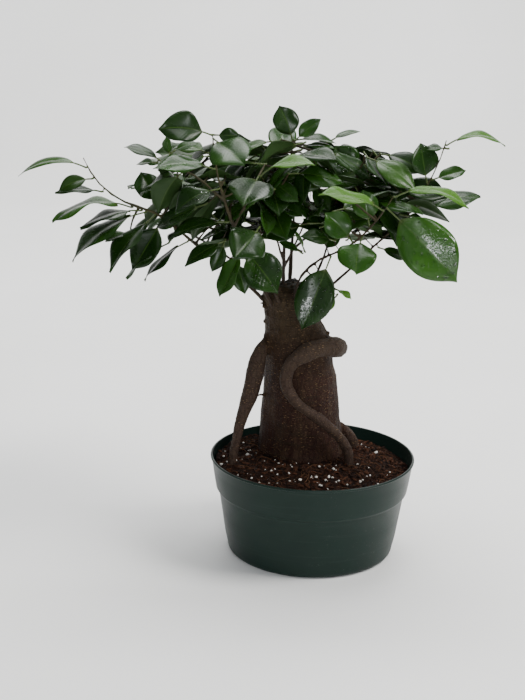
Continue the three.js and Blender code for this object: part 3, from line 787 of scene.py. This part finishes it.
def leaves_piece(shoot, looks):
    """All the leaves of one shoot, with the water that lies on them."""
    heap, uvs, marks = Heap(), [], new_marks()
    for leaf in leaves[shoot]:
        skin, skin_uvs, skin_marks = leaf.skin()
        heap.add(skin.points, skin.faces)
        uvs += skin_uvs
        for key in marks:
            marks[key] += skin_marks[key]
    dry = len(heap.faces)
    for leaf in leaves[shoot]:
        beads = leaf.beads()
        count = heap.add(beads.points, beads.faces)
        uvs += [(0.5, 0.5)] * count
        for values in marks.values():
            values += [0.0] * count
    mesh = bpy.data.meshes.new(f"leaves_{shoot}")
    mesh.from_pydata([tuple(p) for p in heap.points], [], heap.faces)
    mesh.update()
    shaded_smooth(mesh)
    wet = marks["wet"]
    kinds = [(1 if min(wet[v] for v in face) > 0.05 else 0) if i < dry else 2
             for i, face in enumerate(heap.faces)]
    used = sorted(set(kinds))
    mesh.polygons.foreach_set("material_index", [used.index(kind) for kind in kinds])
    layer = mesh.uv_layers.new(name="blade")
    corner = np.empty(len(mesh.loops), dtype=int)
    mesh.loops.foreach_get("vertex_index", corner)
    layer.data.foreach_set("uv", np.array(uvs)[corner].reshape(-1))
    for key, values in marks.items():
        paint(mesh, key, values)
    new_piece(f"leaves_{shoot}", mesh, [looks[kind] for kind in used],
              [name for name in CAD_LEAVES if shoot_of(name) == shoot])


LEAF_LOOKS = (leaf_material("leaf"), leaf_material("leaf_wet", 1.0), water_material())
for shoot in SHOOTS:
    leaves_piece(shoot, LEAF_LOOKS)

# ---- Branches ----

TRUNK_LOW, TRUNK_HIGH = box("trunk")
CROWN = TRUNK_LOW.lerp(TRUNK_HIGH, 0.5)
CROWN.z = TRUNK_HIGH.z
TENDER_FROM, TENDER_OVER = 0.075, 0.11  # how far from the crown the wood turns young and green
TWIG_STEPS = 6


def twig_to(leaf, wood, draw):
    """A short twig from the nearest point of the branch to the foot of a leaf's stalk."""
    where, normal, _, gap = wood.find_nearest(leaf.base)
    start = where - normal * (0.8 * MM)
    end = leaf.base - leaf.along * (0.6 * MM)
    sag = Vector((draw.uniform(-1, 1), draw.uniform(-1, 1), draw.uniform(-1, 0.4))) * (0.12 * gap)
    shares = [k / TWIG_STEPS for k in range(TWIG_STEPS + 1)]
    thick = 0.9 * MM + min(gap, 0.03) * 0.012
    return tube([start.lerp(end, k) + sag * (4 * k * (1 - k)) for k in shares],
                [thick * (1.25 - 0.35 * k) for k in shares])


def branch_piece(order, shoot, look):
    points, faces = welded(f"branch_{shoot}")
    wood = BVHTree.FromPolygons([Vector(p) for p in points], faces)
    draw = random.Random(50 + order)
    shells = [(points, faces)] + [twig_to(leaf, wood, draw) for leaf in leaves[shoot]]
    mesh = grown_together(f"branch_{shoot}", shells, 0.6 * MM, 2)
    co, out = per_vertex(mesh, "co"), per_vertex(mesh, "normal")
    far = np.linalg.norm(co - np.array(CROWN), axis=1)
    swell = 0.00022 * rough(co, 0.004, order) + 0.0004 * rough(co, 0.012, order + 9)
    thinner = 0.0003 + 0.0005 * ease(-far, -0.12, 0.06)
    put(mesh, co + out * (swell - thinner)[:, None])
    paint(mesh, "tender", ease(far, TENDER_FROM, TENDER_OVER))
    new_piece(f"wood_{shoot}", mesh, [look], [f"branch_{shoot}"])


TWIG_LOOK = twig_material()
for order, shoot in enumerate(SHOOTS):
    branch_piece(order, shoot, TWIG_LOOK)

# ---- Trunk and roots ----

WOOD_NODES = ["trunk", "prop_root_looping", "prop_root_left", "root_right_rear"]
SOIL_TOP = box("soil")[1].z
CALLUS_MIDDLE = Vector((-0.027, 0.033, TRUNK_HIGH.z - 0.006))
CALLUS_LUMPS = 16
LUMP_RINGS, LUMP_SIDES = 7, 12
# Places on the trunk are a bearing in degrees and a height in metres; sizes are in mm.
# Old root buds down its left side and front.
BUDS = [(185, 0.252, 2.6), (192, 0.243, 3.4), (200, 0.236, 2.2), (182, 0.226, 3.0), (196, 0.214, 2.4),
        (250, 0.248, 2.4), (262, 0.229, 2.0), (235, 0.221, 2.6), (300, 0.240, 2.2)]
# Short dry rootlets: length and thickness.
ROOTLETS = [(188, 0.247, 4.0, 0.8), (198, 0.239, 3.2, 0.7), (190, 0.205, 3.4, 0.7), (196, 0.152, 9.0, 1.1),
            (8, 0.208, 4.0, 0.9)]
# The knob over the looping root.
KNOB = [(352, 0.2085, 4.6), (4, 0.2145, 3.4), (340, 0.2135, 3.0)]

TRUNK_POINTS, TRUNK_FACES = welded("trunk")
TRUNK_SKIN = BVHTree.FromPolygons([Vector(p) for p in TRUNK_POINTS], TRUNK_FACES)
TRUNK_AXIS = (TRUNK_LOW + TRUNK_HIGH) / 2


def lump(centre, radius, squash=0.75):
    """A closed ball, squashed upright."""
    points = []
    for i in range(1, LUMP_RINGS + 1):
        polar = pi * i / (LUMP_RINGS + 1)
        for turn in turns(LUMP_SIDES):
            out = Vector((sin(polar) * cos(turn), sin(polar) * sin(turn),
                          cos(polar) * squash))
            points.append(Vector(centre) + out * radius)
    faces = []
    for i in range(LUMP_RINGS - 1):
        faces += hoop(i * LUMP_SIDES, (i + 1) * LUMP_SIDES, LUMP_SIDES, flip=True)
    faces.append(list(range(LUMP_SIDES)))
    last = (LUMP_RINGS - 1) * LUMP_SIDES
    faces.append([last + j for j in reversed(range(LUMP_SIDES))])
    return points, faces


def callus():
    """Lumps round the cut crown, every other one with the stub of a shoot."""
    draw = random.Random(4)
    shells = []
    for k, turn in enumerate(turns(CALLUS_LUMPS)):
        turn += draw.uniform(-0.2, 0.2)
        out = draw.uniform(0.011, 0.021)
        offset = Vector((cos(turn) * out, sin(turn) * out, draw.uniform(-0.009, 0.002)))
        spot = CALLUS_MIDDLE + offset
        shells.append(lump(spot, draw.uniform(0.0045, 0.0085)))
        if k % 2:
            way = Vector((cos(turn), sin(turn), draw.uniform(0.1, 1.2))).normalized()
            length = draw.uniform(0.008, 0.014)
            thick = draw.uniform(0.0013, 0.0024)
            shells.append(tube([spot, spot + way * length * 0.6, spot + way * length],
                               [thick * 1.3, thick, thick * 0.9], 10))
    return shells


def on_trunk(turn, height):
    """The trunk's surface and the way it faces, at a bearing in degrees and a height in metres."""
    way = around(radians(turn))
    axis = Vector((TRUNK_AXIS.x * 0.5 + CALLUS_MIDDLE.x * 0.5, TRUNK_AXIS.y, height))
    point, normal, _, _ = TRUNK_SKIN.ray_cast(axis + way * 0.2, -way)
    return point, normal


def rootlet(turn, height, length, thick):
    point, normal = on_trunk(turn, height)
    bend = [point - normal * MM, point + normal * (length * 0.6 * MM),
            point + normal * (length * MM) - Vector((0, 0, length * 0.25 * MM))]
    return tube(bend, [thick * 1.5 * MM, thick * 1.1 * MM, thick * MM])


def trunk_piece():
    """The trunk and its roots under one bark."""
    shells = [welded(name) for name in WOOD_NODES] + callus()
    shells += [lump(on_trunk(turn, height)[0], size * MM, 0.8) for turn, height, size in BUDS]
    shells += [rootlet(*one) for one in ROOTLETS]
    shells += [lump(on_trunk(turn, height)[0], size * MM, 0.9) for turn, height, size in KNOB]
    mesh = grown_together("trunk_and_roots", shells, 1.1 * MM, 3)
    co, out = per_vertex(mesh, "co"), per_vertex(mesh, "normal")
    up = ease(co[:, 2], SOIL_TOP, TRUNK_HIGH.z - SOIL_TOP)
    upright = co * np.array([1, 1, 0.35])
    level = co * np.array([0.25, 0.25, 1.6])
    swell = 0.0016 * rough(upright, 0.022, 1) + 0.0007 * rough(upright, 0.009, 2)
    swell += 0.0003 * rough(co, 0.0035, 3)
    swell += 0.00022 * rough(level, 0.0028, 4)
    swell += 0.0011 * rough(co, 0.008, 5) * ease(up, 0.85, 0.15)
    swell += 0.0007 * rough(co, 0.0045, 6) * ease(up, 0.55, 0.3)
    put(mesh, co + out * swell[:, None])
    paint(mesh, "up", up)
    apart = np.array([TRUNK_SKIN.find_nearest(Vector(p))[3] for p in co])
    paint(mesh, "root", ease(apart, 0.0038, 0.0025) * ease(-up, -0.95, 0.1))
    new_piece("trunk_and_roots", mesh, [bark_material()], WOOD_NODES)


trunk_piece()

# ---- Soil ----

POT_HIGH = box("pot")[1]
SOIL_RADIUS = box("soil")[1].x - 0.5 * MM
SOIL_EDGE = POT_HIGH.z - 10 * MM
SOIL_RINGS, SOIL_SIDES = 56, 200
SOIL_UNDER = ((0.030, 0.955), (0.085, 0.84))  # depth below the rim, and share of the soil's radius
FOOT = Vector((-0.0098, 0.033, 0))  # the trunk's middle at the soil
FOOT_ACROSS, FOOT_DEEP = 0.042, 0.040


def soil_height(x, y):
    r = hypot(x, y) / SOIL_RADIUS
    mound = 0.0030 * (1 - min(r, 1) ** 2)
    lean = -0.036 * x
    p = Vector((x, y, 0))
    lumps = 0.0019 * noise.noise(p / 0.016)
    grains = 0.0011 * noise.noise(p / 0.005 + Vector((3, 1, 0)))
    return SOIL_EDGE + mound + lean + lumps + grains


def soil_bed():
    points, faces = [], []
    for i in range(1, SOIL_RINGS + 1):
        r = SOIL_RADIUS * i / SOIL_RINGS
        for turn in turns(SOIL_SIDES):
            x, y = cos(turn) * r, sin(turn) * r
            points.append((x, y, soil_height(x, y)))
    for depth, share in SOIL_UNDER:
        for turn in turns(SOIL_SIDES):
            r = SOIL_RADIUS * share
            points.append((cos(turn) * r, sin(turn) * r, POT_HIGH.z - depth))
    for i in range(SOIL_RINGS + 1):
        faces += hoop(i * SOIL_SIDES, (i + 1) * SOIL_SIDES, SOIL_SIDES, flip=True)
    faces.append(list(range(SOIL_SIDES)))
    last = (SOIL_RINGS + 1) * SOIL_SIDES
    faces.append([last + j for j in reversed(range(SOIL_SIDES))])
    new_piece("soil_bed", new_mesh("soil_bed", points, faces), [soil_material()], ["soil"])


def in_trunk(x, y):
    return hypot((x - FOOT.x) / FOOT_ACROSS, (y - FOOT.y) / FOOT_DEEP) < 1


def somewhere(draw, share):
    """A random place on the soil, out to a share of its radius."""
    r, turn = SOIL_RADIUS * sqrt(draw.random()) * share, draw.uniform(0, TURN)
    return cos(turn) * r, sin(turn) * r


# An icosahedron, the rough grain that each crumb is cut from.
PHI = (1 + 5 ** 0.5) / 2
GRAIN = [Vector(v).normalized() for v in (
    (-1, PHI, 0), (1, PHI, 0), (-1, -PHI, 0), (1, -PHI, 0), (0, -1, PHI), (0, 1, PHI),
    (0, -1, -PHI), (0, 1, -PHI), (PHI, 0, -1), (PHI, 0, 1), (-PHI, 0, -1), (-PHI, 0, 1))]
GRAIN_FACES = ((0, 11, 5), (0, 5, 1), (0, 1, 7), (0, 7, 10), (0, 10, 11), (1, 5, 9), (5, 11, 4),
               (11, 10, 2), (10, 7, 6), (7, 1, 8), (3, 9, 4), (3, 4, 2), (3, 2, 6), (3, 6, 8),
               (3, 8, 9), (4, 9, 5), (2, 4, 11), (6, 2, 10), (8, 6, 7), (9, 8, 1))


def crumb(draw, x, y, sizes, shape, sink):
    """One grain, sunk a share of its height into the soil."""
    size = draw.uniform(*sizes) * draw.uniform(0.6, 1.0)
    scale = [size * draw.uniform(*reach) for reach in shape]
    spin = Quaternion((0, 0, 1), draw.uniform(0, 6.28))
    spin = spin @ Quaternion((1, 0, 0), draw.uniform(-0.5, 0.5))
    spin = spin @ Quaternion((0, 1, 0), draw.uniform(-0.5, 0.5))
    centre = Vector((x, y, soil_height(x, y) + scale[2] * (0.5 - sink)))
    points = []
    for corner in GRAIN:
        jitter = draw.uniform(0.72, 1.2)
        points.append(centre + spin @ Vector((corner[i] * scale[i] * jitter * 0.5 for i in range(3))))
    return points


def crumbs(name, count, sizes, shape, seed, material, clump=None, sink=0.25):
    """Grains over the soil. A clump is its share of them, its middle and its spread."""
    draw = random.Random(seed)
    heap, tone = Heap(), []
    made = 0
    while made < count:
        if clump and draw.random() < clump[0]:
            x, y = draw.gauss(clump[1], clump[3]), draw.gauss(clump[2], clump[3])
        else:
            x, y = somewhere(draw, 0.99)
        if hypot(x, y) > SOIL_RADIUS - 0.002 or in_trunk(x, y):
            continue
        made += 1
        heap.add(crumb(draw, x, y, sizes, shape, sink), GRAIN_FACES)
        tone += [draw.random()] * len(GRAIN)
    mesh = new_mesh(name, heap.points, heap.faces, smooth=False)
    paint(mesh, "tone", tone)
    new_piece(name, mesh, [material])


FIBRES = 190
FIBRE_STEPS = 6


def fibre_path(draw, x, y):
    """A bent thread lying on the soil, cut off where it would reach the pot."""
    length, way, bend = draw.uniform(0.005, 0.020), draw.uniform(0, 6.28), draw.uniform(-1.2, 1.2)
    path = []
    for k in range(FIBRE_STEPS + 1):
        share = k / FIBRE_STEPS - 0.5
        step = length * share
        px = x + cos(way + bend * share) * step
        py = y + sin(way + bend * share) * step
        if hypot(px, py) > SOIL_RADIUS - 0.001:
            break
        rise = 0.0006 + 0.0012 * sin(pi * k / FIBRE_STEPS)
        path.append((px, py, soil_height(px, py) + rise))
    return path


def soil_fibres():
    draw = random.Random(24)
    heap, tone = Heap(), []
    for _ in range(FIBRES):
        x, y = somewhere(draw, 0.93)
        if in_trunk(x, y):
            continue
        path = fibre_path(draw, x, y)
        if len(path) < 4:
            continue
        radius = draw.uniform(0.00014, 0.00036)
        count = heap.add(*tube(path, [radius] * len(path), 6))
        tone += [draw.random()] * count
    mesh = new_mesh("soil_fibres", heap.points, heap.faces)
    paint(mesh, "tone", tone)
    look = crumb_material("fibre", (0.026, 0.0105, 0.005), (0.12, 0.056, 0.026), 800)
    new_piece("soil_fibres", mesh, [look])


soil_bed()
crumbs("soil_chips", 1500, (0.0024, 0.0078), ((0.8, 1.5), (0.4, 0.8), (0.25, 0.5)), 21,
       crumb_material("bark_chip", (0.0060, 0.0023, 0.0012), (0.066, 0.024, 0.0108), 600))
crumbs("soil_crumbs", 2600, (0.0010, 0.0026), ((0.8, 1.2), (0.7, 1.1), (0.5, 0.9)), 22,
       crumb_material("peat_crumb", (0.0036, 0.0015, 0.0008), (0.034, 0.0125, 0.0060), 900))
crumbs("perlite", 100, (0.0013, 0.0042), ((0.8, 1.2), (0.8, 1.2), (0.7, 1.0)), 23,
       crumb_material("perlite", (0.52, 0.49, 0.44), (0.80, 0.78, 0.74), 1200),
       clump=(0.35, -0.018, -0.050, 0.034), sink=0.15)
soil_fibres()

# ---- Pot ----

# The pot's sizes in mm, as in the CAD.
HEIGHT = POT_HIGH.z * 1000
RIM = 101.5
BASE = 83.0
LIP_OUT = 0.8
STEP = 2.6
WALL = 1.6
FLOOR = 2.2
BAND = 33.0
CORNER = 6
LEAN = (RIM - STEP - BASE - LIP_OUT) / HEIGHT
BAND_FOOT = HEIGHT - BAND
RECESS_OUT, RECESS_IN, RECESS = BASE - 14, 34.0, 1.4
POT_SIDES = 160
DRAIN_HOLES = 6
DRAIN_RADIUS = 5 * MM
AXIS = 0.05  # the profile stops this short of the pot's axis


def band(z):
    """The band's outer radius at a height."""
    return RIM - LIP_OUT - LEAN * (HEIGHT - z)


def wall(z):
    return band(z) - STEP


def arc(x, z, radius, start, sweep, steps):
    """Points of an arc about (x, z), in radians."""
    turns = [start + sweep * k / steps for k in range(steps + 1)]
    return [(x + radius * cos(turn), z + radius * sin(turn)) for turn in turns]


def step_curve(s):
    """A soft step from 0 to 1."""
    return 3 * s * s - 2 * s ** 3


def pot_profile():
    """Out along the base, up the outside, round the lip and down the inside."""
    profile = [(AXIS, 0.0), (RECESS_IN - 0.3, 0.0), (RECESS_IN, 0.3), (RECESS_IN + 0.6, RECESS),
               (RECESS_OUT - 0.6, RECESS), (RECESS_OUT, 0.3), (RECESS_OUT + 0.4, 0.0)]
    profile += arc(wall(0) - CORNER, CORNER, CORNER, -pi / 2, pi / 2, 8)
    profile += [(wall(20), 20), (wall(40), 40), (wall(BAND_FOOT - 3.4), BAND_FOOT - 3.4)]
    for s in [k / 9 for k in range(1, 10)]:
        profile.append((band(BAND_FOOT) - STEP * (1 - step_curve(s)), BAND_FOOT - 3.2 + 4.4 * s))
    profile += [(band(BAND_FOOT + 8), BAND_FOOT + 8), (band(HEIGHT - 14), HEIGHT - 14),
                (band(HEIGHT - 3.2), HEIGHT - 3.2), (band(HEIGHT - 2.6) + 0.15, HEIGHT - 2.7)]
    profile += arc(RIM - 1.25, HEIGHT - 1.25, 1.25, -pi * 0.45, pi * 1.2, 10)
    profile += [(band(HEIGHT - 3) - WALL, HEIGHT - 3), (band(BAND_FOOT + 1.4) - WALL, BAND_FOOT + 1.4),
                (wall(BAND_FOOT - 1.6) - WALL, BAND_FOOT - 1.6), (wall(12) - WALL, 12)]
    profile += arc(wall(6) - WALL - 4.5, FLOOR + 4.5, 4.5, 0, -pi / 2, 4)
    profile.append((AXIS, FLOOR))
    return profile


def lathe(profile, sides):
    """A closed ring of skin turned about the pot's axis."""
    points, faces = [], []
    for r, z in profile:
        for turn in turns(sides):
            points.append((r * MM * cos(turn), r * MM * sin(turn), z * MM))
    for i in range(len(profile)):
        faces += hoop(i * sides, (i + 1) % len(profile) * sides, sides)
    return points, faces


def drain_plugs():
    """The plugs that cut the drainage holes in the recessed ring."""
    heap = Heap()
    circle = (RECESS_OUT + RECESS_IN) / 2 * MM
    up = Vector((0, 0, 0.004))
    for turn in turns(DRAIN_HOLES):
        centre = around(turn) * circle
        heap.add(*tube([centre - up, centre + up], [DRAIN_RADIUS] * 2, 28))
    return new_mesh("drain_cutter", heap.points, heap.faces)


def nursery_pot():
    shell = linked("pot_shell", new_mesh("pot_shell", *lathe(pot_profile(), POT_SIDES)))
    cutter = linked("drain_cutter", drain_plugs())
    holes = shell.modifiers.new("holes", "BOOLEAN")
    holes.operation, holes.object, holes.solver = "DIFFERENCE", cutter, "EXACT"
    mesh = shaded_smooth(frozen(shell))
    bpy.data.objects.remove(cutter)
    mesh.set_sharp_from_angle(angle=radians(40))
    new_piece("nursery_pot", mesh, [pot_material()], ["pot"])


nursery_pot()

# ---- Studio ----

FLOOR_FRONT, FLOOR_BACK, FLOOR_HALF = -3.2, 1.9, 3.6
BEND = 0.7  # radius of the sweep from the floor up to the backdrop
BACKDROP_TOP = 3.2


def pale_floor():
    """A floor that sweeps up into a backdrop."""
    points, faces = [], []
    sweep = [(FLOOR_FRONT, 0.0), (FLOOR_BACK, 0.0)]
    sweep += arc(FLOOR_BACK, BEND, BEND, -pi / 2, pi / 2, 12)[1:]
    sweep.append((FLOOR_BACK + BEND, BACKDROP_TOP))
    for y, z in sweep:
        points += [(-FLOOR_HALF, y, z), (FLOOR_HALF, y, z)]
    for i in range(len(sweep) - 1):
        faces.append([2 * i, 2 * i + 1, 2 * i + 3, 2 * i + 2])
    n = Nodes("pale_paper", 0.75)
    tint = n.mix(n.ramp(n.noise(2.2, 3), 0.3, 0.7), (0.86, 0.86, 0.845), (0.90, 0.90, 0.89))
    mesh = new_mesh("floor", points, faces)
    mesh.materials.append(n.finish(tint, n.noise(260, 3), 0.05, 0.0004))
    linked("floor", mesh)


def area_light(name, place, aim, size, power, tint=(1, 1, 1)):
    lamp = bpy.data.lights.new(name, "AREA")
    lamp.shape, lamp.size, lamp.energy, lamp.color = "SQUARE", size, power, tint
    thing = linked(name, lamp)
    thing.location = place
    thing.rotation_euler = (Vector(aim) - Vector(place)).to_track_quat("-Z", "Y").to_euler()


def soft_sky():
    world = bpy.data.worlds.new("studio")
    world.use_nodes = True
    background = world.node_tree.nodes["Background"]
    background.inputs["Color"].default_value = (0.86, 0.89, 0.93, 1)
    background.inputs["Strength"].default_value = 0.27
    bpy.context.scene.world = world


CAMERA_PLACE = (-0.052, -1.411, 0.609)
CAMERA_PITCH, CAMERA_TILT = radians(15.97), radians(1.28)


def studio_camera():
    """Looks level along +Y, pitched down and tilted a little."""
    data = bpy.data.cameras.new("camera")
    data.lens = 77.14
    data.sensor_width = 36.0
    camera = linked("camera", data)
    ahead = Vector((0, cos(CAMERA_PITCH), -sin(CAMERA_PITCH)))
    level = Vector((1, 0, 0))
    above = level.cross(ahead)
    right = level * cos(CAMERA_TILT) + above * sin(CAMERA_TILT)
    upward = above * cos(CAMERA_TILT) - level * sin(CAMERA_TILT)
    turned = Matrix((right, upward, -ahead)).transposed().to_4x4()
    camera.matrix_world = Matrix.Translation(CAMERA_PLACE) @ turned
    bpy.context.scene.camera = camera


pale_floor()
area_light("key", (1.25, -0.35, 1.75), (0, 0, 0.25), 0.8, 42, (1.0, 0.985, 0.96))
area_light("window", (0.2, -2.0, 0.62), (0.1, -0.06, 0.3), 0.5, 17, (0.96, 0.98, 1.0))
area_light("front_fill", (-0.9, -2.0, 1.4), (0, 0, 0.2), 1.4, 5, (0.95, 0.98, 1.0))
area_light("top", (-0.2, 0.35, 2.1), (0, 0, 0.2), 1.1, 16)
area_light("back_wash", (0.0, 1.1, 2.5), (0.0, 2.4, 0.5), 1.6, 85)
soft_sky()
studio_camera()

bpy.context.view_layer.update()
